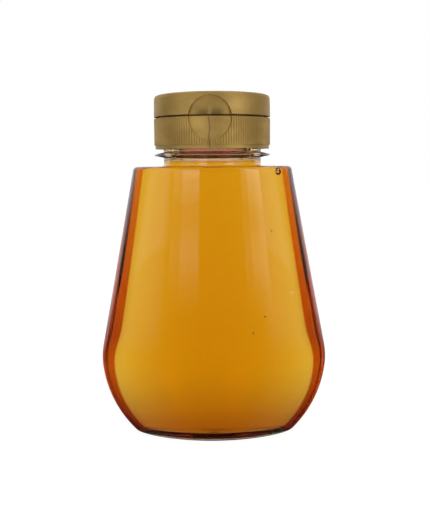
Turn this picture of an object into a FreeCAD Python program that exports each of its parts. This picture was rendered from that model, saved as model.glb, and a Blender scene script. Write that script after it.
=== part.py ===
"""Squeeze bottle for honey: an oval clear bottle on a round neck, the honey in
it, and a screwed-on flip-top cap in two pieces, a ribbed base and a hinged lid.

The origin is on the standing plane, under the middle of the neck.  +Z is up,
the thumb recess of the cap faces -Y and the lid's hinge is at +Y.  Lengths are
in millimetres and angles in degrees.
"""

import FreeCAD, Part
import math
import os

import Sketcher

SIZES = {
    # Bottle: the oval body.
    "shoulder_level": 107.0,
    "shoulder_half_width": 30.75,
    "shoulder_margin": 0.45,
    "shoulder_round": 1.4,
    "shoulder_roll": 2.1,
    "side_flare": 11.07,
    "side_belly_level": 30.6,
    "side_belly_radius": 28.0,
    "side_lower_turn": 6.0,
    "side_lower_radius": 46.0,
    "front_flare": 2.4,
    "front_belly_level": 37.0,
    "front_belly_radius": 85.0,
    "heel_round": 1.3,
    "shoulder_pinch": 0.0,
    "base_pinch": 0.2,
    "body_wall": 0.8,
    # Bottle: the raised middle of its base.
    "rest_ring": 3.4,
    "base_rise": 2.2,
    "bump_foot_in": -0.5,
    "bump_turn_in": 1.4,
    "bump_top_in": 4.0,
    "bump_turn_level": 1.3,
    "gate_radius": 1.6,
    "gate_drop": 0.5,
    # Bottle: the neck, its support ring and its ratchet lugs.
    "neck_radius": 18.9,
    "neck_wall": 1.9,
    "neck_height": 16.0,
    "ring_reach": 3.5,
    "ring_rise": 4.6,
    "ring_root": 2.0,
    "ring_edge": 0.6,
    "lug_count": 4,
    "lug_start": 45.0,
    "lug_height": 1.3,
    "lug_reach": 1.3,
    "lug_width": 1.6,
    "lug_root": 0.4,
    # Honey.
    "honey_rise": 1.9,
    "honey_gap": 0.1,
    # Cap: the base.
    "cap_wall": 3.2,
    "cap_turn": -1.9,
    "skirt_gap": 0.0,
    "band_height": 1.4,
    "band_inset": 0.4,
    "bore_gap": 0.3,
    "seam_rise": 2.6,
    "seam_gap": 0.7,
    "deck_thickness": 1.7,
    "rim_gap": 0.3,
    "rim_wall": 1.1,
    "rim_height": 1.3,
    "rib_count": 144,
    "rib_depth": 0.25,
    "spout_bore": 3.1,
    "spout_tip_wall": 1.2,
    "spout_taper": 0.9,
    "spout_height": 4.2,
    # Cap: the lid.
    "lid_height": 8.4,
    "lid_round": 1.3,
    "lid_round_share": 0.29,
    "lid_draft": 0.15,
    "lid_wall": 1.8,
    "lid_top_wall": 1.4,
    "plug_gap": 0.3,
    "plug_depth": 0.9,
    # Cap: the thumb recess in both pieces.
    "thumb_radius": 7.95,
    "thumb_drop": 0.9,
    "thumb_base_depth": 0.8,
    "thumb_lid_depth": 1.1,
    "thumb_lid_top_depth": 0.3,
    # Cap: the hinge at the back.
    "hinge_reach": 0.6,
    "hinge_width": 13.0,
    "hinge_leaf": 0.6,
    "hinge_root": 0.2,
    "hinge_gap": 0.3,
}

# Sizes and levels that follow from those above, so that the neck stands on the
# shoulder, the cap fits the neck and the lid fits the cap at any size.
FOLLOWING = {
    "shoulder_half_depth": "neck_radius + shoulder_margin",
    "neck_top": "shoulder_level + neck_height",
    "ring_radius": "neck_radius + ring_reach",
    "ring_level": "shoulder_level + ring_rise",
    "honey_level": "shoulder_level + honey_rise",
    "cap_radius": "neck_radius + bore_gap + cap_wall",
    "cap_bottom": "ring_level + ring_root / 2 + lug_height + skirt_gap",
    "seam_level": "neck_top + seam_rise",
    "rim_radius": "cap_radius - lid_wall - rim_gap",
    "spout_tip_radius": "spout_bore + spout_tip_wall",
    "spout_radius": "spout_tip_radius + spout_taper",
    "thumb_level": "seam_level - thumb_drop",
}

OVAL_SIDES = 32
ROUND_STEPS = 2


def make_sheet(doc):
    """The spreadsheet that holds every size, one named cell each."""
    sheet = doc.addObject("Spreadsheet::Sheet", "sizes")
    cells = {name: str(value) for name, value in SIZES.items()}
    cells.update({name: "=" + rule for name, rule in FOLLOWING.items()})
    for row, (name, content) in enumerate(cells.items(), start=1):
        sheet.set(f"A{row}", name)
        sheet.set(f"B{row}", content)
        sheet.setAlias(f"B{row}", name)
    doc.recompute()
    return sheet


def size(sheet, name):
    """One size as a plain number."""
    return float(getattr(sheet, name))


# ---------------------------------------------------------------- oval body


def flank(level, top, half, flare, belly, belly_radius, turn, lower_radius):
    """Half-width at a level of a wall that flares out in a straight line from
    `half` at `top`, turns round an arc at `belly`, and closes in on a second
    arc that takes over `turn` degrees below the widest point."""
    slope = math.radians(flare)
    line_end = belly + belly_radius * math.sin(slope)
    widest = half + (top - line_end) * math.tan(slope) + belly_radius * (1 - math.cos(slope))
    if level >= line_end:
        return half + (top - level) * math.tan(slope)
    bend = math.radians(turn)
    if level >= belly - belly_radius * math.sin(bend):
        return widest - belly_radius + math.sqrt(belly_radius**2 - (belly - level) ** 2)
    step = belly_radius - lower_radius
    centre = widest - belly_radius + step * math.cos(bend)
    centre_level = belly - step * math.sin(bend)
    return centre + math.sqrt(lower_radius**2 - (centre_level - level) ** 2)


def wall_halves(sheet, level):
    """Outer half-width, half-depth and pinch of the body at a level."""
    top = size(sheet, "shoulder_level")
    width = flank(
        level,
        top,
        size(sheet, "shoulder_half_width"),
        size(sheet, "side_flare"),
        size(sheet, "side_belly_level"),
        size(sheet, "side_belly_radius"),
        size(sheet, "side_lower_turn"),
        size(sheet, "side_lower_radius"),
    )
    radius = size(sheet, "front_belly_radius")
    depth = flank(
        level,
        top,
        size(sheet, "shoulder_half_depth"),
        size(sheet, "front_flare"),
        size(sheet, "front_belly_level"),
        radius,
        0.0,
        radius,
    )
    base_pinch = size(sheet, "base_pinch")
    rise = (level / top) ** 2
    pinch = base_pinch + (size(sheet, "shoulder_pinch") - base_pinch) * rise
    return width, depth, pinch


def oval(width, depth, pinch, level):
    """A closed oval of short sides: an ellipse whose quarters are drawn in by
    `pinch`.  Its tips and its flats fall on corners, so they keep their size."""
    points = []
    for step in range(OVAL_SIDES):
        turn = 2 * math.pi * step / OVAL_SIDES
        across = width * math.sin(turn)
        along = -depth * math.cos(turn) * (1 - pinch * math.sin(turn) ** 2)
        points.append(FreeCAD.Vector(across, along, level))
    return points


def flat_face(points):
    return Part.Face(Part.makePolygon(points + points[:1]))


def skinned(rings):
    """The solid through a stack of ovals, with two flat triangles to each
    side.  Both triangles lean towards the nearer flat of the oval, so that the
    solid stays the same on its left and right."""
    faces = [flat_face(rings[0]), flat_face(rings[-1])]
    for lower, upper in zip(rings, rings[1:]):
        for step in range(OVAL_SIDES):
            after = (step + 1) % OVAL_SIDES
            corners = [lower[step], lower[after], upper[after], upper[step]]
            if step % (OVAL_SIDES // 2) >= OVAL_SIDES // 4:
                corners = corners[1:] + corners[:1]
            faces.append(flat_face(corners[:3]))
            faces.append(flat_face(corners[2:] + corners[:1]))
    shell = Part.makeShell(faces)
    shell.sewShape()
    solid = Part.makeSolid(shell)
    if solid.Volume < 0:
        solid.reverse()
    return solid


def body_levels(sheet, bottom, top):
    """Levels between the two rounded edges at which the wall needs a section."""
    belly = size(sheet, "side_belly_level")
    radius = size(sheet, "side_belly_radius")
    line_end = belly + radius * math.sin(math.radians(size(sheet, "side_flare")))
    arc_end = belly - radius * math.sin(math.radians(size(sheet, "side_lower_turn")))
    lower = [bottom + (arc_end - bottom) * step / 5 for step in (1, 2, 3, 4)]
    middle = [arc_end + (line_end - arc_end) * step / 3 for step in (0, 1, 2, 3)]
    return lower + middle + [(line_end + top) / 2]


def body_solid(sheet, inset):
    """The body's oval solid, its walls and ends moved in by `inset`."""
    heel = size(sheet, "heel_round")
    edge = size(sheet, "shoulder_round")
    roll = size(sheet, "shoulder_roll")
    bottom = inset
    top = size(sheet, "shoulder_level") - inset
    rings = []

    def section(level, side_round, front_round):
        width, depth, pinch = wall_halves(sheet, level)
        width -= inset + side_round
        depth -= inset + front_round
        rings.append(oval(width, depth, pinch, level))

    for step in range(ROUND_STEPS + 1):
        turn = 0.5 * math.pi * step / ROUND_STEPS
        inward = heel * (1 - math.sin(turn))
        section(bottom + heel * (1 - math.cos(turn)), inward, inward)
    for level in body_levels(sheet, bottom + heel, top - edge):
        section(level, 0.0, 0.0)
    for step in range(ROUND_STEPS, -1, -1):
        turn = 0.5 * math.pi * step / ROUND_STEPS
        inward = 1 - math.sin(turn)
        section(top - edge * (1 - math.cos(turn)), edge * inward, roll * inward)
    return skinned(rings)


def base_bump(sheet, grow):
    """The oval block that lifts the middle of the base, enlarged by `grow`."""
    width, depth, pinch = wall_halves(sheet, 0.0)
    ring = size(sheet, "rest_ring")
    foot = size(sheet, "bump_foot_in")
    profile = [
        (foot, foot),
        (0.0, 0.0),
        (size(sheet, "bump_turn_level"), size(sheet, "bump_turn_in")),
        (size(sheet, "base_rise"), size(sheet, "bump_top_in")),
    ]
    rings = []
    for level, inward in profile:
        inward += ring - grow
        rings.append(oval(width - inward, depth - inward, pinch, level + grow))
    return skinned(rings)


def shaped(doc, name, shape):
    """A document object that carries a computed shape."""
    item = doc.addObject("Part::Feature", name)
    item.Shape = shape
    return item


# ------------------------------------------------------------ small helpers


def bind(item, links):
    """Ties properties of an object to expressions on the sheet."""
    for prop, expression in links.items():
        item.setExpression(prop, expression)
    return item


def cylinder(doc, name, radius, height, level):
    """An upright cylinder about the bottle's axis."""
    item = doc.addObject("Part::Cylinder", name)
    return bind(item, {"Radius": radius, "Height": height, "Placement.Base.z": level})


def cut(doc, name, base, tool):
    item = doc.addObject("Part::Cut", name)
    item.Base = base
    item.Tool = tool
    return item


def fuse(doc, name, shapes):
    item = doc.addObject("Part::MultiFuse", name)
    item.Shapes = shapes
    return item


def plane_of(body, role):
    """One of a body's own origin planes or axes."""
    for feature in body.Origin.OriginFeatures:
        if feature.Role == role:
            return feature
    raise ValueError(role)


def turned_profile(doc, body, name, corners):
    """Revolves a closed outline about Z.  Each corner is a pair of expressions
    on the sheet: its distance from the axis and its level."""
    sketch = body.newObject("Sketcher::SketchObject", name + "_outline")
    sketch.AttachmentSupport = (plane_of(body, "XZ_Plane"), [""])
    sketch.MapMode = "FlatFace"
    doc.recompute()
    spots = []
    for radius, level in corners:
        spots.append(FreeCAD.Vector(sketch.evalExpression(radius), sketch.evalExpression(level), 0))
    count = len(spots)
    for index in range(count):
        sketch.addGeometry(Part.LineSegment(spots[index], spots[(index + 1) % count]))
    for index in range(count):
        sketch.addConstraint(Sketcher.Constraint("Coincident", index, 2, (index + 1) % count, 1))
    for index, (radius, level) in enumerate(corners):
        if radius == "0":
            sketch.addConstraint(Sketcher.Constraint("PointOnObject", index, 1, -2))
        else:
            rule = Sketcher.Constraint("DistanceX", -1, 1, index, 1, spots[index].x)
            sketch.setExpression(f"Constraints[{sketch.addConstraint(rule)}]", radius)
        rule = Sketcher.Constraint("DistanceY", -1, 1, index, 1, spots[index].y)
        sketch.setExpression(f"Constraints[{sketch.addConstraint(rule)}]", level)
    turn = body.newObject("PartDesign::Revolution", name)
    turn.Profile = sketch
    turn.ReferenceAxis = (sketch, ["V_Axis"])
    turn.Angle = 360.0
    doc.recompute()
    return turn


def check_smaller(feature, before, what):
    """Stops when a cut has taken nothing away."""
    if feature.Shape.Volume >= before - 1e-6:
        raise RuntimeError(what + " cut nothing")


# ------------------------------------------------------------------- bottle


def make_neck(doc):
    """The solid neck with its tapered support ring, still without its bore."""
    body = doc.addObject("PartDesign::Body", "neck")
    turned_profile(
        doc,
        body,
        "neck_turn",
        [
            ("0", "sizes.shoulder_level - 2 * sizes.shoulder_round"),
            ("sizes.neck_radius", "sizes.shoulder_level - 2 * sizes.shoulder_round"),
            ("sizes.neck_radius", "sizes.ring_level - sizes.ring_root / 2"),
            ("sizes.ring_radius", "sizes.ring_level - sizes.ring_edge / 2"),
            ("sizes.ring_radius", "sizes.ring_level + sizes.ring_edge / 2"),
            ("sizes.neck_radius", "sizes.ring_level + sizes.ring_root / 2"),
            ("sizes.neck_radius", "sizes.neck_top"),
            ("0", "sizes.neck_top"),
        ],
    )
    return body


def make_lugs(doc, sheet):
    """The ratchet lugs that stand on the support ring, close to the neck."""
    lugs = []
    count = int(size(sheet, "lug_count"))
    for index in range(count):
        lug = doc.addObject("Part::Wedge", f"lug_{index + 1}")
        turn = f"(sizes.lug_start + {index} * 360 / sizes.lug_count)"
        bind(
            lug,
            {
                "Xmin": "sizes.neck_radius - sizes.lug_root",
                "Xmax": "sizes.neck_radius + sizes.lug_reach",
                "X2min": "sizes.neck_radius - sizes.lug_root",
                "X2max": "sizes.neck_radius",
                "Ymin": "0",
                "Ymax": "sizes.lug_width",
                "Zmin": "sizes.ring_level",
                "Zmax": "sizes.ring_level + sizes.ring_root / 2 + sizes.lug_height",
                "Z2min": "sizes.ring_level",
                "Z2max": "sizes.ring_level + sizes.ring_root / 2 + sizes.lug_height",
                "Placement.Rotation.Angle": turn,
            },
        )
        lugs.append(lug)
    return lugs


def make_bottle(doc, sheet):
    """The clear shell: body and neck, hollowed, with the base pushed up."""
    wall = size(sheet, "body_wall")
    outside = shaped(doc, "body_outside", body_solid(sheet, 0.0))
    push_up = shaped(doc, "push_up", base_bump(sheet, 0.0))
    gate = cylinder(
        doc,
        "gate",
        "sizes.gate_radius",
        "sizes.gate_drop + sizes.body_wall / 2",
        "sizes.base_rise - sizes.gate_drop",
    )
    solid = fuse(doc, "bottle_solid", [outside, make_neck(doc)] + make_lugs(doc, sheet))
    raised = cut(doc, "bottle_raised", solid, push_up)
    cavity = shaped(doc, "body_cavity", body_solid(sheet, wall).cut(base_bump(sheet, wall)))
    bore = cylinder(
        doc,
        "neck_bore",
        "sizes.neck_radius - sizes.neck_wall",
        "sizes.neck_top - sizes.shoulder_level + 2 * sizes.shoulder_round + 2 * sizes.body_wall",
        "sizes.shoulder_level - 2 * sizes.shoulder_round - sizes.body_wall",
    )
    hollow = fuse(doc, "hollow", [cavity, bore])
    shell = cut(doc, "shell", raised, hollow)
    bottle = fuse(doc, "bottle", [shell, gate])
    bottle.Label = "bottle"
    return bottle


def make_honey(doc, sheet):
    """The honey: the bottle's inside up to its level in the neck."""
    inset = size(sheet, "body_wall") + size(sheet, "honey_gap")
    filling = body_solid(sheet, inset).cut(base_bump(sheet, inset))
    lower = shaped(doc, "honey_body", filling)
    upper = cylinder(
        doc,
        "honey_neck",
        "sizes.neck_radius - sizes.neck_wall - sizes.honey_gap",
        "sizes.honey_level - sizes.shoulder_level + 2 * sizes.shoulder_round + sizes.body_wall",
        "sizes.shoulder_level - 2 * sizes.shoulder_round - sizes.body_wall",
    )
    honey = fuse(doc, "honey", [lower, upper])
    honey.Label = "honey"
    return honey


# ---------------------------------------------------------------------- cap


def thumb_cutter(doc, name, core):
    """The round thumb recess: a disc drilled from the front down to a core."""
    drill = doc.addObject("Part::Cylinder", name + "_drill")
    drill.Placement = FreeCAD.Placement(
        FreeCAD.Vector(), FreeCAD.Rotation(FreeCAD.Vector(1, 0, 0), 90)
    )
    bind(
        drill,
        {
            "Radius": "sizes.thumb_radius",
            "Height": "2 * sizes.cap_radius",
            "Placement.Base.z": "sizes.thumb_level",
        },
    )
    return cut(doc, name, drill, core)


def hinge_leaf(doc, name, bottom):
    """One leaf of the hinge, a flat strap across the back of the cap."""
    leaf = doc.addObject("Part::Box", name)
    return bind(
        leaf,
        {
            "Length": "sizes.hinge_width",
            "Width": "sizes.lid_wall + sizes.hinge_reach - sizes.hinge_root",
            "Height": "sizes.hinge_leaf",
            "Placement.Base.x": "-sizes.hinge_width / 2",
            "Placement.Base.y": "sizes.cap_radius - sizes.lid_wall + sizes.hinge_root",
            "Placement.Base.z": bottom,
        },
    )


def turn_cap(item):
    """Turns a finished cap piece to where the thread stops it."""
    item.Placement = FreeCAD.Placement(
        FreeCAD.Vector(), FreeCAD.Rotation(FreeCAD.Vector(0, 0, 1), 1)
    )
    item.setExpression("Placement.Rotation.Angle", "sizes.cap_turn")


def cut_ribs(doc, sheet, body, turn):
    """Fine upright V grooves all round the skirt."""
    before = turn.Shape.Volume
    sketch = body.newObject("Sketcher::SketchObject", "groove_outline")
    sketch.AttachmentSupport = (plane_of(body, "XY_Plane"), [""])
    sketch.MapMode = "FlatFace"
    sketch.AttachmentOffset = FreeCAD.Placement(FreeCAD.Vector(0, 0, 1), FreeCAD.Rotation())
    sketch.setExpression("AttachmentOffset.Base.z", "sizes.cap_bottom + sizes.band_height")
    radius = size(sheet, "cap_radius")
    depth = size(sheet, "rib_depth")
    half = math.pi * radius / size(sheet, "rib_count")
    reach = "sizes.cap_radius + sizes.rib_depth"
    floor = "sizes.cap_radius - sizes.rib_depth"
    opening = "2 * pi * sizes.cap_radius / sizes.rib_count"
    corners = [
        FreeCAD.Vector(radius - depth, 0, 0),
        FreeCAD.Vector(radius + depth, half, 0),
        FreeCAD.Vector(radius + depth, -half, 0),
    ]
    for index in range(3):
        sketch.addGeometry(Part.LineSegment(corners[index], corners[(index + 1) % 3]))
    for index in range(3):
        sketch.addConstraint(Sketcher.Constraint("Coincident", index, 2, (index + 1) % 3, 1))
    sketch.addConstraint(Sketcher.Constraint("PointOnObject", 0, 1, -1))
    sketch.addConstraint(Sketcher.Constraint("Symmetric", 1, 1, 1, 2, -1))
    rule = sketch.addConstraint(Sketcher.Constraint("DistanceX", -1, 1, 0, 1, radius - depth))
    sketch.setExpression(f"Constraints[{rule}]", floor)
    rule = sketch.addConstraint(Sketcher.Constraint("DistanceX", -1, 1, 1, 1, radius + depth))
    sketch.setExpression(f"Constraints[{rule}]", reach)
    rule = sketch.addConstraint(Sketcher.Constraint("DistanceY", 1, 2, 1, 1, 2 * half))
    sketch.setExpression(f"Constraints[{rule}]", opening)
    groove = body.newObject("PartDesign::Pocket", "groove")
    groove.Profile = sketch
    groove.Type = "Length"
    groove.Reversed = True
    groove.setExpression(
        "Length",
        "sizes.seam_level - sizes.seam_gap / 2 - sizes.cap_bottom - sizes.band_height",
    )
    doc.recompute()
    check_smaller(groove, before, "groove")
    pattern = body.newObject("PartDesign::PolarPattern", "ribs")
    pattern.Originals = [groove]
    pattern.Axis = (plane_of(body, "Z_Axis"), [""])
    pattern.Angle = 360.0
    pattern.setExpression("Occurrences", "sizes.rib_count")
    body.Tip = pattern
    doc.recompute()
    check_smaller(pattern, groove.Shape.Volume, "rib pattern")


def make_cap_base(doc, sheet):
    """The screwed base: ribbed skirt, deck with its spout, and a low rim."""
    body = doc.addObject("PartDesign::Body", "cap_base_body")
    seat = "sizes.seam_level - sizes.seam_gap / 2"
    deck = "sizes.neck_top + sizes.deck_thickness"
    bore = "sizes.neck_radius + sizes.bore_gap"
    band = "sizes.cap_radius - sizes.band_inset"
    turn = turned_profile(
        doc,
        body,
        "cap_base_turn",
        [
            (bore, "sizes.cap_bottom"),
            (band, "sizes.cap_bottom"),
            (band, "sizes.cap_bottom + sizes.band_height"),
            ("sizes.cap_radius", "sizes.cap_bottom + sizes.band_height"),
            ("sizes.cap_radius", seat),
            ("sizes.rim_radius", seat),
            ("sizes.rim_radius", seat + " + sizes.rim_height"),
            ("sizes.rim_radius - sizes.rim_wall", seat + " + sizes.rim_height"),
            ("sizes.rim_radius - sizes.rim_wall", deck),
            ("sizes.spout_radius", deck),
            ("sizes.spout_tip_radius", deck + " + sizes.spout_height"),
            ("sizes.spout_bore", deck + " + sizes.spout_height"),
            ("sizes.spout_bore", "sizes.neck_top"),
            (bore, "sizes.neck_top"),
        ],
    )
    cut_ribs(doc, sheet, body, turn)
    core = cylinder(
        doc,
        "thumb_base_core",
        "sizes.cap_radius - sizes.thumb_base_depth",
        "2 * sizes.seam_level",
        "0",
    )
    hollowed = cut(doc, "cap_base_cut", body, thumb_cutter(doc, "thumb_base", core))
    leaf = hinge_leaf(
        doc,
        "hinge_base_leaf",
        "sizes.seam_level - sizes.hinge_gap / 2 - sizes.hinge_leaf",
    )
    base = fuse(doc, "cap_base", [hollowed, leaf])
    base.Label = "cap_base"
    turn_cap(base)
    return base


def make_cap_lid(doc):
    """The lid: a shallow cup with a sealing plug under its middle."""
    body = doc.addObject("PartDesign::Body", "cap_lid_body")
    edge = "sizes.seam_level + sizes.seam_gap / 2"
    top = "sizes.seam_level + sizes.lid_height"
    ceiling = top + " - sizes.lid_top_wall"
    spout_top = "sizes.neck_top + sizes.deck_thickness + sizes.spout_height"
    plug = "sizes.spout_bore - sizes.plug_gap"
    corner = "sizes.cap_radius - sizes.lid_draft"
    soft = "sizes.lid_round"
    bulge = "sizes.lid_round * sizes.lid_round_share"
    turned_profile(
        doc,
        body,
        "cap_lid_turn",
        [
            ("0", spout_top + " - sizes.plug_depth"),
            (plug, spout_top + " - sizes.plug_depth"),
            (plug, ceiling),
            ("sizes.cap_radius - sizes.lid_wall", ceiling),
            ("sizes.cap_radius - sizes.lid_wall", edge),
            ("sizes.cap_radius", edge),
            (corner, f"{top} - {soft}"),
            (f"{corner} - {bulge}", f"{top} - {bulge}"),
            (f"{corner} - {soft}", top),
            ("0", top),
        ],
    )
    core = doc.addObject("Part::Cone", "thumb_lid_core")
    bind(
        core,
        {
            "Radius1": "sizes.cap_radius - sizes.thumb_lid_depth",
            "Radius2": "sizes.cap_radius - sizes.thumb_lid_top_depth",
            "Height": "sizes.lid_height",
            "Placement.Base.z": "sizes.seam_level",
        },
    )
    hollowed = cut(doc, "cap_lid_cut", body, thumb_cutter(doc, "thumb_lid", core))
    leaf = hinge_leaf(doc, "hinge_lid_leaf", "sizes.seam_level + sizes.hinge_gap / 2")
    lid = fuse(doc, "cap_lid", [hollowed, leaf])
    lid.Label = "cap_lid"
    turn_cap(lid)
    return lid


# --------------------------------------------------------------------- main


def check(doc, pieces):
    """Every object recomputed, and every piece one valid solid."""
    for item in doc.Objects:
        if "Invalid" in item.State or "Error" in item.State:
            raise RuntimeError(item.Name + " failed to recompute")
    for item in pieces:
        shape = item.Shape
        if shape.isNull() or not shape.isValid():
            raise RuntimeError(item.Label + " has no valid shape")
        if len(shape.Solids) != 1:
            raise RuntimeError(f"{item.Label} has {len(shape.Solids)} solids")


def main():
    doc = FreeCAD.newDocument("honey_bottle")
    sheet = make_sheet(doc)
    pieces = [
        make_bottle(doc, sheet),
        make_honey(doc, sheet),
        make_cap_base(doc, sheet),
        make_cap_lid(doc),
    ]
    doc.recompute()
    check(doc, pieces)
    os.makedirs("parts", exist_ok=True)
    for item in pieces:
        item.Shape.exportStep(f"parts/{item.Label}.step")
        box = item.Shape.BoundBox
        print(item.Label, round(item.Shape.Volume, 1), "mm3", box)


main()
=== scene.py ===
"""Looks for the honey squeeze bottle: a clear shell, the honey that fills it,
what floats in the honey, and the finish of the gold flip-top cap.

The part's frame is used throughout: +Z up, the front towards -Y.  Shapes are
sized in millimetres and made in metres.  Finishes, lamps and the camera are
placed in metres.
"""

import math

import bpy
from mathutils import Euler, Matrix, Vector


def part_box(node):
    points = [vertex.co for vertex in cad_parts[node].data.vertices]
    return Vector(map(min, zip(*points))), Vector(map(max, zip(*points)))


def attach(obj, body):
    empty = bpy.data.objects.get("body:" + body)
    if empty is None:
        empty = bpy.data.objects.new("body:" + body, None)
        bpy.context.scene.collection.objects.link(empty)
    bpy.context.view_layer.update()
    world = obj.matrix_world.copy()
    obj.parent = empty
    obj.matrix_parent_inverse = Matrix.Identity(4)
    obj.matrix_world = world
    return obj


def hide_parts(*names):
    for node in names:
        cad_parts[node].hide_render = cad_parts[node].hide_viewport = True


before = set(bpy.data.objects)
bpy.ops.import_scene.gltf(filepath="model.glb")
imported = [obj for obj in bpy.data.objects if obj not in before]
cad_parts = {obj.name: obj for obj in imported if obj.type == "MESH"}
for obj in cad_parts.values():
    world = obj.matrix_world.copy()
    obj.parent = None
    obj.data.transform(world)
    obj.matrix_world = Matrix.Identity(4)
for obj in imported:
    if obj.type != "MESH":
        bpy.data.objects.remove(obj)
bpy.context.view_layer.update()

MM = 0.001
BOTTLE = "filled_bottle"

# The body's walls, close to the part's: a straight flare from the shoulder down, an
# arc round the widest level, and a second arc down to the heel.
SHOULDER_LEVEL = 107.25
SIDE = dict(half=30.7, flare=11.07, belly=30.6, belly_radius=28.0, turn=6.0, lower_radius=46.0)
FRONT = dict(half=19.34, flare=2.4, belly=37.0, belly_radius=85.0, turn=0.0, lower_radius=85.0)
BASE_PINCH = 0.2
HEEL_ROUND = 0.7
SHOULDER_ROUND = 1.4
SHOULDER_ROLL = 2.1
SHOULDER_DOME = 0.2
WALL = 0.8
# The raised middle of the base and the gate mark in it.
REST_RING = 3.4
BASE_RISE = 3.2
BASE_RISE_WIDTH = 4.5
GATE_RADIUS = 1.6
GATE_DROP = 0.5
# The neck.
NECK_RADIUS = 18.9
NECK_WALL = 1.9
NECK_TOP = 123.0
NECK_ROOT = 0.7
RING_RADIUS = 22.4
RING_LEVEL = 111.6
RING_ROOT = 2.0
RING_EDGE = 0.6
RING_BLEND = 0.3
RING_FOOT = 0.15
RING_TIP = 0.25
RING_TIP_RISE = 0.08
RIM_ROUND = 0.2
# The ratchet lugs on the support ring.
LUG_COUNT = 4
LUG_START = 45
LUG_REACH = 1.3
LUG_HEIGHT = 1.3
LUG_WIDTH = 1.6
LUG_ROOT = 0.1
LUG_BEVEL = 0.2
# The honey.
HONEY_INTO_WALL = 0.15
MENISCUS = 0.35
MENISCUS_REACH = 0.7

AROUND = 192
PLASTIC_IOR = 1.49
HONEY_IOR = 1.49

# The shell's finishes, after its first: the inner faces that the honey wets,
# the inside of the neck above it, and the floor.
WET_FINISH = 1
FILMED_FINISH = 2
FLOOR_FINISH = 3


# ------------------------------------------------------------------- shapes


def flank(level, half, flare, belly, belly_radius, turn, lower_radius):
    """Half-width of a wall at a level."""
    slope = math.radians(flare)
    line_end = belly + belly_radius * math.sin(slope)
    widest = half + (SHOULDER_LEVEL - line_end) * math.tan(slope)
    widest += belly_radius * (1 - math.cos(slope))
    if level >= line_end:
        return half + (SHOULDER_LEVEL - level) * math.tan(slope)
    bend = math.radians(turn)
    if level >= belly - belly_radius * math.sin(bend):
        return widest - belly_radius + math.sqrt(belly_radius**2 - (belly - level) ** 2)
    step = belly_radius - lower_radius
    centre = widest - belly_radius + step * math.cos(bend)
    centre_level = belly - step * math.sin(bend)
    return centre + math.sqrt(lower_radius**2 - (centre_level - level) ** 2)


def oval(level, side_in, front_in=None, height=None):
    """One ring of the body's oval, taken at `level` and drawn in, and set at
    `height` where that differs."""
    front_in = side_in if front_in is None else front_in
    width = flank(level, **SIDE) - side_in
    depth = flank(level, **FRONT) - front_in
    pinch = BASE_PINCH * (1 - (level / SHOULDER_LEVEL) ** 2)
    ring = []
    for step in range(AROUND):
        turn = 2 * math.pi * step / AROUND
        along = -depth * math.cos(turn) * (1 - pinch * math.sin(turn) ** 2)
        ring.append(Vector((width * math.sin(turn), along, level if height is None else height)))
    return ring


def circle(radius, level):
    """One round ring."""
    turns = [2 * math.pi * step / AROUND for step in range(AROUND)]
    return [Vector((radius * math.sin(t), -radius * math.cos(t), level)) for t in turns]


def between(one, other, share):
    """The ring that lies at a share of the way from one to the other."""
    return [a.lerp(b, share) for a, b in zip(one, other)]


def steps(count):
    """Even shares from 0 to 1."""
    return [index / count for index in range(count + 1)]


def heel_and_walls(inset):
    """Rings from the heel's foot up to the shoulder's inner edge."""
    rings = []
    top = SHOULDER_LEVEL - inset
    for share in steps(8):
        turn = 0.5 * math.pi * share
        level = inset + HEEL_ROUND * (1 - math.cos(turn))
        rings.append(oval(level, inset + HEEL_ROUND * (1 - math.sin(turn))))
    low, high = inset + HEEL_ROUND, top - SHOULDER_ROUND
    for share in steps(64)[1:-1]:
        rings.append(oval(low + (high - low) * share, inset))
    for share in reversed(steps(8)):
        turn = 0.5 * math.pi * share
        inward = 1 - math.sin(turn)
        level = top - SHOULDER_ROUND * (1 - math.cos(turn))
        rings.append(oval(level, inset + SHOULDER_ROUND * inward, inset + SHOULDER_ROLL * inward))
    return rings


def raised_base(grow):
    """Rings over the raised middle of the base, from the middle outwards.
    `grow` moves the surface up and out, for what lies above it."""
    rings = []
    for share in reversed(steps(8)):
        inward = REST_RING + BASE_RISE_WIDTH * share - grow
        level = BASE_RISE * (1 - (1 - share) ** 2) + grow
        rings.append(oval(0.0, inward, height=level))
    return rings


def shoulder_to_neck(inset, neck_radius):
    """Rings across the nearly flat shoulder and up the root of the neck."""
    edge = oval(SHOULDER_LEVEL - inset, inset + SHOULDER_ROUND, inset + SHOULDER_ROLL)
    root = circle(neck_radius + NECK_ROOT, SHOULDER_LEVEL - inset)
    rings = []
    for share in steps(6)[1:]:
        ring = between(edge, root, share)
        rise = SHOULDER_DOME * math.sin(0.5 * math.pi * share)
        rings.append([point + Vector((0, 0, rise)) for point in ring])
    for share in steps(5)[1:]:
        turn = 0.5 * math.pi * share
        radius = neck_radius + NECK_ROOT * (1 - math.sin(turn))
        level = SHOULDER_LEVEL - inset + SHOULDER_DOME + NECK_ROOT * (1 - math.cos(turn))
        rings.append(circle(radius, level))
    return rings


def linked(name, data):
    """A new object in the scene."""
    item = bpy.data.objects.new(name, data)
    bpy.context.scene.collection.objects.link(item)
    return item


def closed_mesh(name, rings, first, last):
    """A closed smooth mesh through a chain of rings, ended by two points."""
    points = [first] + [point for ring in rings for point in ring] + [last]
    faces = []
    for step in range(AROUND):
        after = (step + 1) % AROUND
        faces.append((0, 1 + after, 1 + step))
        for index in range(len(rings) - 1):
            low, high = 1 + index * AROUND, 1 + (index + 1) * AROUND
            faces.append((low + step, low + after, high + after, high + step))
        low = 1 + (len(rings) - 1) * AROUND
        faces.append((low + step, low + after, len(points) - 1))
    mesh = bpy.data.meshes.new(name)
    mesh.from_pydata([point * MM for point in points], [], faces)
    mesh.validate()
    mesh.shade_smooth()
    return linked(name, mesh)


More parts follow.
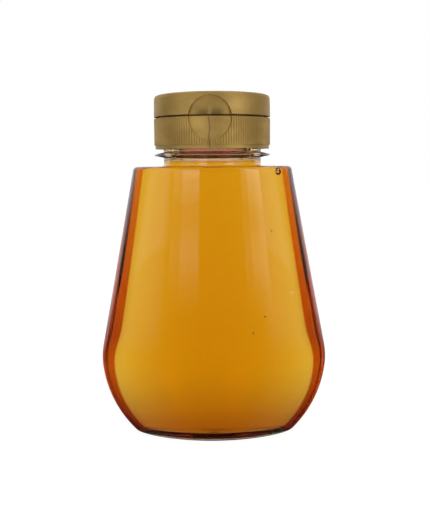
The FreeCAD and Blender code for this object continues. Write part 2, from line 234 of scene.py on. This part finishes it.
def neck_profile():
    """Radius and level along the neck: out over its support ring, whose lower
    and upper halves match, then up and in over the rim."""
    half = (
        (RING_EDGE / 4, RING_RADIUS),
        (RING_EDGE / 2 + RING_TIP_RISE, RING_RADIUS - RING_TIP),
        (RING_ROOT / 2, NECK_RADIUS + RING_FOOT),
        (RING_ROOT / 2 + RING_BLEND, NECK_RADIUS),
    )
    below = [(radius, RING_LEVEL - rise) for rise, radius in reversed(half)]
    above = [(radius, RING_LEVEL + rise) for rise, radius in half]
    bore = NECK_RADIUS - NECK_WALL
    rim = [
        (NECK_RADIUS, NECK_TOP - RIM_ROUND),
        (NECK_RADIUS - RIM_ROUND, NECK_TOP),
        (bore + RIM_ROUND, NECK_TOP),
        (bore, NECK_TOP - RIM_ROUND),
    ]
    return below + above + rim


def bottle_shell(honey_level):
    """The clear shell, from under its base, up the outside and down inside."""
    gate_level = BASE_RISE - GATE_DROP
    under = [circle(radius, level) for radius, level in (
        (0.5 * GATE_RADIUS, gate_level),
        (0.9 * GATE_RADIUS, gate_level),
        (GATE_RADIUS, BASE_RISE - 0.7 * GATE_DROP),
        (GATE_RADIUS, BASE_RISE),
        (1.3 * GATE_RADIUS, BASE_RISE),
    )]
    base = raised_base(0.0)
    spread = [between(under[-1], base[0], share) for share in steps(6)[1:-1]]
    neck = [circle(radius, level) for radius, level in neck_profile()]
    outside = heel_and_walls(0.0) + shoulder_to_neck(0.0, NECK_RADIUS) + neck
    inside = heel_and_walls(WALL) + shoulder_to_neck(WALL, NECK_RADIUS - NECK_WALL)
    floor_rings = raised_base(WALL)
    middle = Vector((0, 0, BASE_RISE + WALL))
    flat = [between(floor_rings[0], [middle] * AROUND, share) for share in (0.3, 0.6, 0.9)]
    outer = under + spread + base + outside
    rings = outer + inside[::-1] + floor_rings[::-1] + flat
    shell = closed_mesh("bottle_shell", rings, Vector((0, 0, gate_level)), middle)
    for face in shell.data.polygons:
        row = face.index % (len(rings) + 1)
        if row > len(outer) + len(inside):
            face.material_index = FLOOR_FINISH
        elif row > len(outer):
            wet = face.center.z < honey_level * MM
            face.material_index = WET_FINISH if wet else FILMED_FINISH
    return shell


def honey_fill(level):
    """The honey, from its middle underneath up to its level in the neck."""
    inset = WALL - HONEY_INTO_WALL
    radius = NECK_RADIUS - NECK_WALL + HONEY_INTO_WALL
    base = raised_base(inset)
    middle = Vector((0, 0, BASE_RISE + inset))
    flat = [between(base[0], [middle] * AROUND, share) for share in (0.9, 0.6, 0.3)]
    top = []
    for share in (0.0, 0.15, 0.4, 1.0, 2.0, 4.0, 10.0):
        top.append(circle(radius - share, level + MENISCUS * math.exp(-share / MENISCUS_REACH)))
    rings = flat + base + heel_and_walls(inset) + shoulder_to_neck(inset, radius) + top
    return closed_mesh("honey_fill", rings, middle, Vector((0, 0, level)))


def ball(name, centre, radius, squash=1.0):
    """A small smooth ball, flattened upright where squash is under 1."""
    bpy.ops.mesh.primitive_uv_sphere_add(segments=32, ring_count=16)
    piece = bpy.context.object
    piece.name = piece.data.name = name
    size = Matrix.Diagonal((radius * MM, radius * MM, radius * squash * MM, 1))
    piece.data.transform(Matrix.Translation(Vector(centre) * MM) @ size)
    piece.data.shade_smooth()
    return piece


def wedge_lugs():
    """The ratchet lugs on the support ring, as one mesh."""
    points, faces = [], []
    inner, outer = NECK_RADIUS - LUG_ROOT, NECK_RADIUS + LUG_REACH
    low, high = RING_LEVEL, RING_LEVEL + RING_ROOT / 2 + LUG_HEIGHT
    for index in range(LUG_COUNT):
        turn = Matrix.Rotation(math.radians(LUG_START + 360 / LUG_COUNT * index), 3, "Z")
        start = len(points)
        for level in (low, high):
            for corner in ((inner, 0, level), (outer, 0, level),
                           (inner + LUG_ROOT, LUG_WIDTH, level), (inner, LUG_WIDTH, level)):
                points.append(turn @ Vector(corner))
        faces += [[start + i for i in side] for side in (
            (3, 2, 1, 0), (4, 5, 6, 7), (0, 1, 5, 4), (1, 2, 6, 5), (2, 3, 7, 6), (3, 0, 4, 7))]
    mesh = bpy.data.meshes.new("neck_lugs")
    mesh.from_pydata([point * MM for point in points], [], faces)
    piece = linked("neck_lugs", mesh)
    bevel = piece.modifiers.new("soft_edges", "BEVEL")
    bevel.width = LUG_BEVEL * MM
    bevel.segments = 2
    return piece


# ---------------------------------------------------------------- materials


class Nodes:
    """Short calls that build one material's or world's node tree."""

    def __init__(self, tree):
        self.tree = tree
        tree.nodes.clear()

    def add(self, kind, **values):
        node = self.tree.nodes.new(kind)
        for name, value in values.items():
            setattr(node, name, value)
        return node

    def put(self, value, socket):
        """Links a socket, or sets a plain value; None leaves it alone."""
        if isinstance(value, bpy.types.NodeSocket):
            self.tree.links.new(value, socket)
        elif value is not None:
            socket.default_value = value

    def maths(self, operation, first, second=None):
        node = self.add("ShaderNodeMath", operation=operation)
        for socket, value in zip(node.inputs, (first, second)):
            self.put(value, socket)
        return node.outputs[0]

    def product(self, first, *others):
        for other in others:
            first = self.maths("MULTIPLY", first, other)
        return first

    def from_axis(self, x, y):
        """Level distance from the upright axis."""
        squares = self.maths("ADD", self.product(x, x), self.product(y, y))
        return self.maths("SQRT", squares)

    def ramp(self, value, low, high, start=0.0, end=1.0):
        """A smooth step of value from low to high, as start to end."""
        node = self.add("ShaderNodeMapRange", interpolation_type="SMOOTHSTEP")
        for socket, number in zip(node.inputs, (value, low, high, start, end)):
            self.put(number, socket)
        return node.outputs[0]

    def mix(self, share, first, second):
        node = self.add("ShaderNodeMix", data_type="RGBA")
        for name, value in (("Factor", share), ("A", first), ("B", second)):
            socket = [s for s in node.inputs if s.name == name and s.enabled][0]
            self.put(value, socket)
        return [s for s in node.outputs if s.enabled][0]

    def noise(self, place, scale, detail=2.0, roughness=0.5):
        node = self.add("ShaderNodeTexNoise")
        self.put(place, node.inputs["Vector"])
        node.inputs["Scale"].default_value = scale
        node.inputs["Detail"].default_value = detail
        node.inputs["Roughness"].default_value = roughness
        return node.outputs["Fac"]

    def bump(self, height, strength, distance):
        node = self.add("ShaderNodeBump")
        node.inputs["Strength"].default_value = strength
        node.inputs["Distance"].default_value = distance
        self.put(height, node.inputs["Height"])
        return node.outputs["Normal"]

    def place(self):
        return self.add("ShaderNodeTexCoord").outputs["Object"]

    def split(self, vector):
        node = self.add("ShaderNodeSeparateXYZ")
        self.put(vector, node.inputs[0])
        return node.outputs

    def stretched(self, place, scale):
        node = self.add("ShaderNodeMapping")
        self.put(place, node.inputs["Vector"])
        node.inputs["Scale"].default_value = scale
        return node.outputs[0]

    def principled(self, **values):
        node = self.add("ShaderNodeBsdfPrincipled")
        for name, value in values.items():
            self.put(value, node.inputs[name.replace("_", " ")])
        return node.outputs[0]

    def surface(self, shader, volume=None, kind="ShaderNodeOutputMaterial"):
        node = self.add(kind)
        self.put(shader, node.inputs["Surface"])
        self.put(volume, node.inputs["Volume"])


def material(name):
    made = bpy.data.materials.new(name)
    made.use_nodes = True
    return made, Nodes(made.node_tree)


CLEAR = (0.985, 0.985, 0.975, 1)
NECK_BROWN = (0.82, 0.64, 0.48, 1)
# Amber towards the foot of the wetted wall: painted shade that darkens the honey towards the base.
FOOT_SHADE_AMBER = (0.45, 0.17, 0.07, 1)
FILM_BROWN = (0.28, 0.14, 0.06, 1)
# Darker amber round the gate on the inner floor: painted shade at the base.
GATE_SHADE_AMBER = (0.30, 0.12, 0.04, 1)
HONEY_AMBER = (0.936, 0.785, 0.033, 1)
HONEY_DENSITY = 150.0
# Levels between which the painted shade at the foot fades out and the neck's tint sets in, and
# the radii between which the painted shade round the gate fades out.
FOOT_FADE = (-0.002, 0.033)
NECK_START = (0.1085, 0.1091)
GATE_FADE = (0.0038, 0.0050)
SMEAR_DEPTH = 0.0006


def clear_plastic(name, gloss, foot=CLEAR, neck=CLEAR, gate=None):
    """Blown clear plastic: glossy, faintly wavy, with a few duller patches.
    `gloss` tints its reflections: where honey wets the wall, 0 takes out the
    faint ones and leaves total reflection.
    `foot` tints it towards the base, a painted shade that makes the honey behind it
    look darker there, and `neck` tints it above the honey.  `gate` tints the middle
    of the floor, round the gate, with painted shade at the base."""
    made, nodes = material(name)
    place = nodes.place()
    waves = nodes.noise(nodes.stretched(place, (1, 1, 0.35)), 90.0, 1.0)
    haze = nodes.ramp(nodes.noise(place, 35.0), 0.45, 0.75, 0.01, 0.045)
    height = nodes.split(place)[2]
    clear = nodes.mix(nodes.ramp(height, *FOOT_FADE), foot, CLEAR)
    if gate:
        x, y, _ = nodes.split(place)
        clear = nodes.mix(nodes.ramp(nodes.from_axis(x, y), *GATE_FADE), gate, CLEAR)
    smears = nodes.noise(nodes.stretched(place, (1, 1, 3)), 160.0, 2.0)
    level = nodes.maths("ADD", height, nodes.product(smears, -SMEAR_DEPTH))
    clear = nodes.mix(nodes.ramp(level, *NECK_START), clear, neck)
    nodes.surface(nodes.principled(
        Base_Color=clear,
        Roughness=haze,
        IOR=PLASTIC_IOR,
        Specular_Tint=(gloss, gloss, gloss, 1),
        Transmission_Weight=1.0,
        Normal=nodes.bump(waves, 0.08, 0.0006),
    ))
    return made


def honey_amber():
    """Clear amber honey, whose surface is faintly uneven."""
    made, nodes = material("honey_amber")
    place = nodes.place()
    cords = nodes.noise(nodes.stretched(place, (1, 1, 0.4)), 60.0, 1.0)
    body = nodes.add("ShaderNodeVolumeAbsorption")
    body.inputs["Color"].default_value = HONEY_AMBER
    body.inputs["Density"].default_value = HONEY_DENSITY
    nodes.surface(nodes.principled(
        Base_Color=(1, 1, 1, 1),
        Roughness=0.0,
        IOR=HONEY_IOR,
        Specular_Tint=(0, 0, 0, 1),
        Transmission_Weight=1.0,
        Normal=nodes.bump(cords, 0.05, 0.0005),
    ), body.outputs[0])
    return made


def air():
    """The inside of a bubble, as seen from within the honey."""
    made, nodes = material("air_bubble")
    nodes.surface(nodes.principled(
        Base_Color=(1, 1, 1, 1), Roughness=0.0, IOR=1 / HONEY_IOR, Transmission_Weight=1.0,
    ))
    return made


def speck(name, colour):
    """A dull mottled grain."""
    made, nodes = material(name)
    tint = nodes.noise(nodes.place(), 3000.0)
    dark = tuple(0.6 * part for part in colour[:3]) + (1,)
    nodes.surface(nodes.principled(Base_Color=nodes.mix(tint, colour, dark), Roughness=0.6))
    return made


GOLD_LIGHT = (0.48, 0.305, 0.080, 1)
GOLD_DARK = (0.39, 0.240, 0.060, 1)
GOLD_FLAKE = (0.75, 0.58, 0.27, 1)
# Dark for the weld line, and also for the painted shade in the lid's thumb scoop.
GOLD_WELD_AND_SHADE = (0.20, 0.12, 0.035, 1)
# Painted shade in the seam between lid and skirt.
GOLD_SEAM_SHADE = (0.06, 0.022, 0.004, 1)
# The weld line and the painted shade in the lid's thumb scoop: how far left of the middle they lie
# and how far they wander, then where each fades, as distances from that line and levels.
WELD_LEFT = 0.00105
WELD_WANDER = 0.0016
WELD_FADE = (0.0001, 0.00038)
SCOOP_SHADE_LEFT = 0.0008
SCOOP_SHADE_START = (0.0, 0.0012)
SCOOP_SHADE_FADE = (0.0030, 0.0062)
SCOOP_SHADE_TOP = (0.1262, 0.1292)
LID_FOOT = (0.1255, 0.1257)
SKIRT_TOP = (0.1250, 0.1256)
CAP_FRONT = (-0.019, -0.017)
# Painted shade in the seam between lid and skirt, which stops short of the hinge at the back.
SEAM_LEVEL = 0.1256
SEAM_FADE = (0.00012, 0.00038)
HINGE_START = (0.0170, 0.0185)


def gold_plastic():
    """Satin gold plastic with metal flake and faint clouds, with the dark weld line at the front,
    painted shade in the lid's thumb scoop above it, and painted shade in the seam between lid and
    skirt."""
    made, nodes = material("gold_plastic")
    place = nodes.place()
    x, y, z = nodes.split(place)
    clouds = nodes.noise(nodes.stretched(place, (1, 1, 2.5)), 55.0, 3.0, 0.6)
    tone = nodes.mix(nodes.ramp(clouds, 0.35, 0.7), GOLD_LIGHT, GOLD_DARK)
    flake = nodes.noise(place, 5200.0, 1.0)
    tone = nodes.mix(nodes.ramp(flake, 0.55, 0.8, 0.0, 0.25), tone, GOLD_FLAKE)
    wander = nodes.noise(nodes.stretched(place, (0, 0, 1)), 260.0, 2.0)
    wander = nodes.product(nodes.maths("SUBTRACT", wander, 0.5), -WELD_WANDER)
    line = nodes.maths("ADD", x, wander)
    front = nodes.ramp(y, *CAP_FRONT, 1.0, 0.0)
    # The weld line down the skirt, where the flow fronts met.
    off = nodes.maths("ABSOLUTE", nodes.maths("ADD", line, WELD_LEFT))
    weld = nodes.product(nodes.ramp(off, *WELD_FADE, 1.0, 0.0), front,
                         nodes.ramp(z, *SKIRT_TOP, 1.0, 0.0))
    tone = nodes.mix(nodes.product(weld, 0.75), tone, GOLD_WELD_AND_SHADE)
    # Two soft patches of painted shade in the lid's thumb scoop, which meet over the weld line.
    beside = nodes.maths("ABSOLUTE", nodes.maths("ADD", line, SCOOP_SHADE_LEFT))
    scoop_shade = nodes.product(nodes.ramp(beside, *SCOOP_SHADE_START), nodes.ramp(beside, *SCOOP_SHADE_FADE, 1.0, 0.0),
                         nodes.ramp(z, *SCOOP_SHADE_TOP, 1.0, 0.0), front, nodes.ramp(z, *LID_FOOT))
    tone = nodes.mix(nodes.product(scoop_shade, 0.9), tone, GOLD_WELD_AND_SHADE)
    # Painted shade in the seam between lid and skirt.
    seam = nodes.maths("ABSOLUTE", nodes.maths("SUBTRACT", z, SEAM_LEVEL))
    seam = nodes.product(nodes.ramp(seam, *SEAM_FADE, 1.0, 0.0),
                         nodes.ramp(y, *HINGE_START, 1.0, 0.0))
    tone = nodes.mix(nodes.product(seam, 0.85), tone, GOLD_SEAM_SHADE)
    grain = nodes.noise(place, 2600.0, 2.0, 0.6)
    nodes.surface(nodes.principled(
        Base_Color=tone,
        Metallic=0.5,
        Roughness=nodes.ramp(clouds, 0.3, 0.7, 0.42, 0.52),
        Normal=nodes.bump(grain, 0.12, 0.00012),
    ))
    return made


# ----------------------------------------------------------------- lighting


# What is seen sideways through the honey is brighter than white, and greener.
SIDE_GLOW = (1.45, 1.95, 1.1, 1)
# What the gloss reflects, from dark straight in front to bright beside it.
FRONT_GLOW = 0.04
BESIDE_GLOW = 0.95
FAR_GLOW = 0.05
BACK_GLOW = 0.9
# Where each of these changes, as a direction's share that points ahead (+Y).
SIDE_FADE = (0.42, 0.56)
BESIDE_START = (-0.80, -0.66)
FAR_FADE = (-0.35, -0.10)
BACK_START = (0.35, 0.6)
ROOM_GLOW = 0.55
WHITE = (1, 1, 1, 1)
FLOOR_SIZE = 6.0
FLOOR_MATT = 0.9
FLOOR_GAIN = 0.5
FLOOR_SHARE = 0.8
FLOOR_WHITE = 1.15
FLOOR_TINT = (0.85, 0.70, 0.55, 1)
FLOOR_TINT_REACH = 0.055
# The floor's share of reflected light near the bottle: from the third number
# at the first radius to the fourth at the second.
FLOOR_DIM = (0.10, 0.50, 0.15, 1.0)
# A soft box from its foot up: how bright each part of its height is.
BOX_PARTS = ((0.000, 0.012, 0.10), (0.012, 0.024, 0.22), (0.024, 0.036, 0.45),
             (0.036, 0.048, 0.75), (0.048, 0.070, 1.00), (0.070, 0.082, 0.75),
             (0.082, 0.105, 0.55), (0.105, 0.115, 0.95), (0.115, 0.128, 1.35),
             (0.128, 0.140, 1.90), (0.140, 0.600, 2.50))
# Each soft box's wide dim and narrow bright layer: its azimuth from the front
# in degrees, its width, and its share of the brightness.
BOX_LAYERS = (("left_wide", -25.5, 0.21, 0.4), ("left_narrow", -20.6, 0.13, 0.6),
              ("right_wide", 38.0, 0.17, 0.4), ("right_narrow", 41.3, 0.12, 0.6))
BOX_DISTANCE = 0.45
BOX_COLOUR = (1.0, 1.0, 0.92)


def surroundings(nodes, x, y, gain=1.0):
    """The studio in a level direction: its colour as seen through the honey,
    white in front and behind and SIDE_GLOW to the sides, and its brightness in
    the gloss, which is dark straight in front, where the camera stands."""
    flat = nodes.maths("MAXIMUM", nodes.from_axis(x, y), 0.0001)
    ahead = nodes.maths("DIVIDE", y, flat)
    sideways = nodes.ramp(nodes.maths("ABSOLUTE", ahead), *SIDE_FADE)
    through = nodes.mix(sideways, SIDE_GLOW, WHITE)
    near = nodes.ramp(ahead, *BESIDE_START, FRONT_GLOW, BESIDE_GLOW * gain)
    far = nodes.ramp(ahead, *FAR_FADE, 1.0, FAR_GLOW)
    back = nodes.ramp(ahead, *BACK_START, 0.0, BACK_GLOW)
    gloss = nodes.maths("ADD", nodes.product(near, far), back)
    return through, gloss


def grey(brightness):
    return (brightness, brightness, brightness, 1)


def studio_world():
    """The studio.  Rays refracted by clear plastic count as glossy too, so
    what is seen through the bottle is mixed in after what is reflected."""
    world = bpy.data.worlds.new("studio")
    world.use_nodes = True
    bpy.context.scene.world = world
    nodes = Nodes(world.node_tree)
    x, y, _ = nodes.split(nodes.add("ShaderNodeTexCoord").outputs["Generated"])
    through, gloss = surroundings(nodes, x, y)
    ray = nodes.add("ShaderNodeLightPath").outputs
    glow = nodes.mix(ray["Is Glossy Ray"], grey(ROOM_GLOW), gloss)
    glow = nodes.mix(ray["Is Transmission Ray"], glow, through)
    glow = nodes.mix(ray["Is Camera Ray"], glow, WHITE)
    light = nodes.add("ShaderNodeBackground")
    nodes.put(glow, light.inputs["Color"])
    nodes.surface(light.outputs[0], kind="ShaderNodeOutputWorld")


def floor():
    """A white floor that keeps the object's shadow.  Seen through the bottle,
    it turns amber close by, from the light that falls on it through honey."""
    bpy.ops.mesh.primitive_plane_add(size=FLOOR_SIZE)
    piece = bpy.context.object
    piece.name = "floor"
    made, nodes = material("floor_white")
    x, y, _ = nodes.split(nodes.place())
    through, gloss = surroundings(nodes, x, y, FLOOR_GAIN)
    ray = nodes.add("ShaderNodeLightPath").outputs
    matt = nodes.add("ShaderNodeBsdfDiffuse")
    matt.inputs["Color"].default_value = grey(FLOOR_MATT)
    glow = nodes.add("ShaderNodeEmission")
    away = nodes.from_axis(x, y)
    gloss = nodes.product(gloss, nodes.ramp(away, *FLOOR_DIM))
    tone = nodes.mix(ray["Is Glossy Ray"], grey(FLOOR_WHITE), gloss)
    near = nodes.maths("EXPONENT", nodes.product(away, -1 / FLOOR_TINT_REACH))
    through = nodes.mix(near, through, FLOOR_TINT)
    nodes.put(nodes.mix(ray["Is Transmission Ray"], tone, through), glow.inputs["Color"])
    seen = nodes.product(ray["Is Camera Ray"], FLOOR_SHARE)
    share = nodes.maths("MAXIMUM", seen, ray["Is Glossy Ray"])
    mix = nodes.add("ShaderNodeMixShader")
    nodes.put(share, mix.inputs[0])
    nodes.put(matt.outputs[0], mix.inputs[1])
    nodes.put(glow.outputs[0], mix.inputs[2])
    nodes.surface(mix.outputs[0])
    piece.data.materials.append(made)


def soft_box(name, azimuth, width, low, high, radiance):
    """One part of a tall soft box in front of the bottle, turned to it."""
    height = high - low
    lamp = bpy.data.lights.new(name, "AREA")
    lamp.shape = "RECTANGLE"
    lamp.size, lamp.size_y = width, height
    lamp.energy = radiance * math.pi * width * height
    lamp.color = BOX_COLOUR
    turn = math.radians(azimuth)
    item = linked(name, lamp)
    item.location = (BOX_DISTANCE * math.sin(turn), -BOX_DISTANCE * math.cos(turn), low + height / 2)
    item.rotation_euler = Euler((math.radians(90), 0, turn))


# ------------------------------------------------------------------- camera


EYE = (0, -0.276, 0.110)
LENS_MM = 47.7
SENSOR_MM = 36.0
LOOK_DOWN = 8.53
LOOK_TURN = -0.15
LOOK_ROLL = -0.45


def camera():
    """In front of the bottle at the height of its shoulder, looking slightly down."""
    lens = bpy.data.cameras.new("camera")
    lens.sensor_fit = "VERTICAL"
    lens.sensor_height = SENSOR_MM
    lens.lens = LENS_MM
    eye = linked("camera", lens)
    eye.location = EYE
    look = Matrix.Rotation(math.radians(LOOK_TURN), 4, "Z")
    look @= Matrix.Rotation(math.radians(90 - LOOK_DOWN), 4, "X")
    look @= Matrix.Rotation(math.radians(LOOK_ROLL), 4, "Z")
    eye.rotation_euler = look.to_euler()
    bpy.context.scene.camera = eye


# --------------------------------------------------------------------- main


def add(piece, slot, *finishes):
    """Gives a piece its finishes, and lets it ride on the bottle."""
    for finish in finishes:
        piece.data.materials.append(finish)
    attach(piece, BOTTLE)
    return piece


plastic = clear_plastic("clear_plastic", 1.0, neck=NECK_BROWN)
# The wetted wall is tinted amber towards its foot: painted shade at the base.
wet_plastic = clear_plastic("wet_plastic", 0.0, foot=FOOT_SHADE_AMBER)
filmed_plastic = clear_plastic("filmed_plastic", 0.3, neck=FILM_BROWN)
# The inner floor's finish, darker amber round the gate: painted shade at the base.
gate_shade_plastic = clear_plastic("gate_shade_plastic", 0.0, gate=GATE_SHADE_AMBER)
honey = honey_amber()
bubble = air()
honey_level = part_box("honey")[1].z / MM

shell = add(bottle_shell(honey_level), "clear_plastic", plastic, wet_plastic,
            filmed_plastic, gate_shade_plastic)
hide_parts("bottle")
add(wedge_lugs(), "clear_plastic", plastic)

fill = add(honey_fill(honey_level), "honey", honey)
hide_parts("honey")

# What floats in the honey, just behind the front wall: one large bubble under
# the shoulder, a pinhead bubble, shown as a pale grain, and three dark specks.
SPECK_PLACES = ((21.9, -15.2, 83.2), (19.4, -18.6, 51.2), (14.9, -20.1, 45.2))
SPECK_RADIUS = 0.30
add(ball("bubble_large", (24.2, -10.0, 105.0), 1.35, 0.9), "honey", bubble)
pale = speck("pale_speck", (0.95, 0.80, 0.50, 1))
dark = speck("dark_speck", (0.16, 0.06, 0.015, 1))
add(ball("bubble_small", (29.9, -13.5, 59.3), 0.42), "honey", pale)
for index, place in enumerate(SPECK_PLACES):
    add(ball(f"speck_{index + 1}", place, SPECK_RADIUS), "honey", dark)

gold = gold_plastic()
for name in ("cap_base", "cap_lid"):
    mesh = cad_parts[name].data
    mesh.materials.clear()
    mesh.materials.append(gold)

studio_world()
floor()
for side, azimuth, width, share in BOX_LAYERS:
    for low, high, radiance in BOX_PARTS:
        soft_box(f"{side}_{low / MM:.0f}", azimuth, width, low, high, share * radiance)
camera()
bpy.context.scene.view_settings.view_transform = "Standard"
# Light crosses three surfaces at each wall, and may turn back at several walls.
BOUNCES = 64
bpy.context.scene.cycles.max_bounces = BOUNCES
bpy.context.scene.cycles.transmission_bounces = BOUNCES
